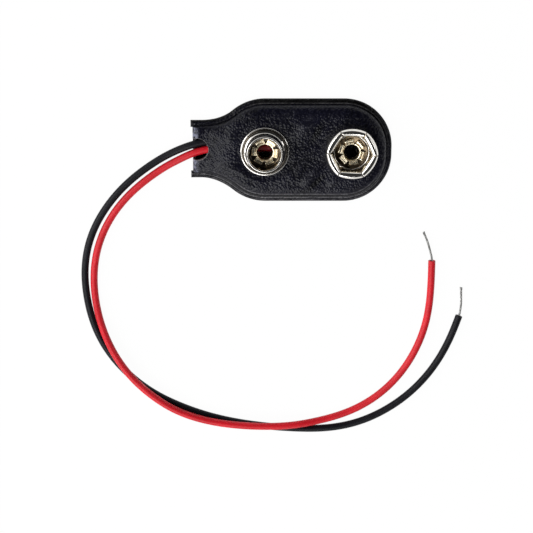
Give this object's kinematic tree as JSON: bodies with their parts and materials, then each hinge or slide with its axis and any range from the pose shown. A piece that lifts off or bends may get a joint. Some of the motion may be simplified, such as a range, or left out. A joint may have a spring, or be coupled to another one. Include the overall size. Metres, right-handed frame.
{
  "type": "battery snap connector",
  "caption": "Battery snap connector: black vinyl cover with a nickel-plated stud and a petalled socket riveted by brass eyelets, and a free red and black lead with bared ends.",
  "frame": {"origin": "on the back leaf's flat outer face, midway between the axes of the two terminals", "axes": "+X from the stud to the socket, along the cover; +Z out of the terminals, away from the flat back face; +Y to complete a right-handed frame"},
  "size_m": [0.0581, 0.0527, 0.0051],
  "materials": {
    "black_vinyl": "fine pebbled grain with a soft sheen",
    "fibre_board": "dull pressed board",
    "nickel_plate": "bright nickel plate",
    "brass": "bright, pale gold",
    "red_insulation": "smooth, semi-gloss",
    "black_insulation": "smooth, semi-gloss",
    "tinned_copper": "tinned strands, twisted",
    "solder": "smooth grey solder"
  },
  "bodies": {
    "root": {"cover": "black_vinyl", "carrier_board": "fibre_board", "stud_terminal": "nickel_plate", "socket_terminal": "nickel_plate", "stud_eyelet": "brass", "socket_eyelet": "brass", "red_lead": "red_insulation", "black_lead": "black_insulation", "red_lead_tip": "tinned_copper", "black_lead_tip": "tinned_copper", "red_inner_end": "tinned_copper", "black_inner_end": "tinned_copper", "red_solder": "solder", "black_solder": "solder"}
  },
  "joints": []
}
